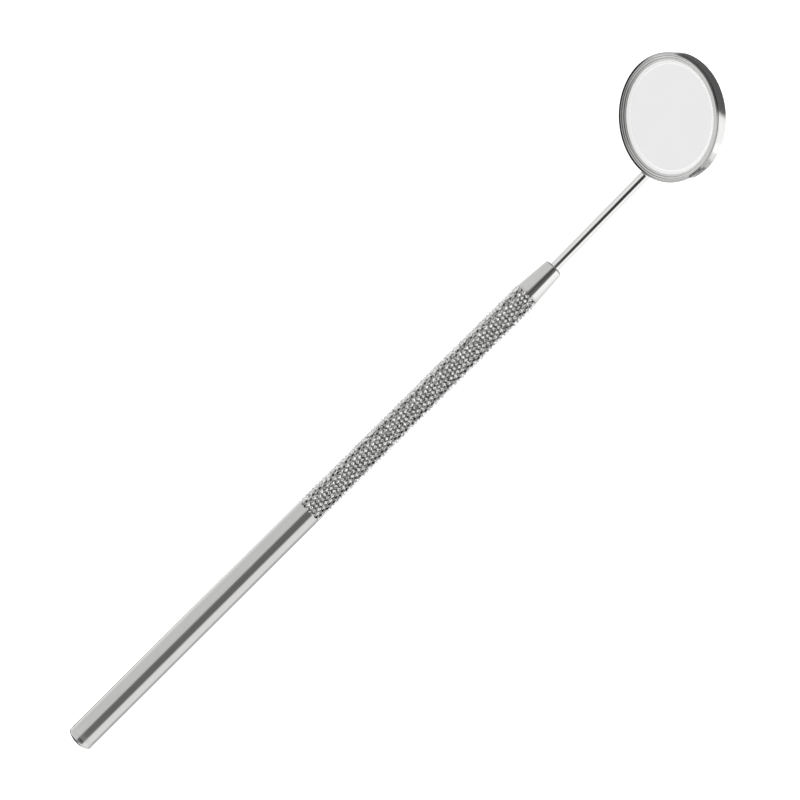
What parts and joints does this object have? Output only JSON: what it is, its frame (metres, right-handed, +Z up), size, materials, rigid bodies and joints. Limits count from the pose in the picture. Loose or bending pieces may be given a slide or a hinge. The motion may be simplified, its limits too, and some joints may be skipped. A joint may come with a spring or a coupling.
{
  "type": "mouth mirror",
  "caption": "Dental mouth mirror: a slim hollow steel handle with a knurled grip and tapered nose, and a round framed glass mirror on an angled stem that screws into the nose.",
  "frame": {"origin": "middle of the bottom of the whole object, on the surface that it lies on", "axes": "+X along the handle's axis towards the mirror head, +Z up from the surface that it lies on, +Y to the left of the handle, on the side that the mirror leans and faces"},
  "size_m": [0.1738, 0.023, 0.0198],
  "materials": {
    "handle_steel": "polished stainless steel, with a rolled diamond knurl on the grip",
    "plug_steel": "polished stainless steel dome",
    "weld_bead": "weld bead, ground and polished flush",
    "nose_steel": "turned and polished stainless steel",
    "thread_steel": "rolled thread, satin",
    "stem_steel": "polished stainless steel rod",
    "braze": "silver braze, slightly uneven",
    "cup_steel": "drawn and polished stainless steel",
    "seal": "pale grey sealing ring",
    "clear_glass": "flat polished glass with a ground edge",
    "reflective_film": "bright reflective metal film on the front of the glass",
    "bond": "thin grey adhesive behind the glass",
    "cushion": "thin pressed cushion"
  },
  "bodies": {
    "handle": {"handle_tube": "handle_steel", "rear_plug": "plug_steel", "rear_weld_ring": "weld_bead", "nose_bush": "nose_steel", "nose_weld_ring": "weld_bead"},
    "screw_thread": {"threaded_stud": "thread_steel"},
    "mirror_head": {"stem": "stem_steel", "stem_braze": "braze", "mirror_cup": "cup_steel", "edge_seal": "seal", "mirror_glass": "clear_glass", "mirror_coating": "reflective_film", "glass_adhesive": "bond", "backing_disc": "cushion"}
  },
  "joints": [
    {"name": "head_travel", "type": "slide", "parent": "handle", "child": "screw_thread", "axis": [1, 0, 0], "range_m": [0, 0.0045]},
    {"name": "head_turn", "type": "hinge", "parent": "screw_thread", "child": "mirror_head", "pos_m": [0.04096, -0.00463, 0.00275], "axis": [1, 0, 0], "range_deg": [0, 3600]}
  ],
  "couplings": [
    {"joint": "head_turn", "follows": "head_travel", "rad_per_m": 13963}
  ]
}
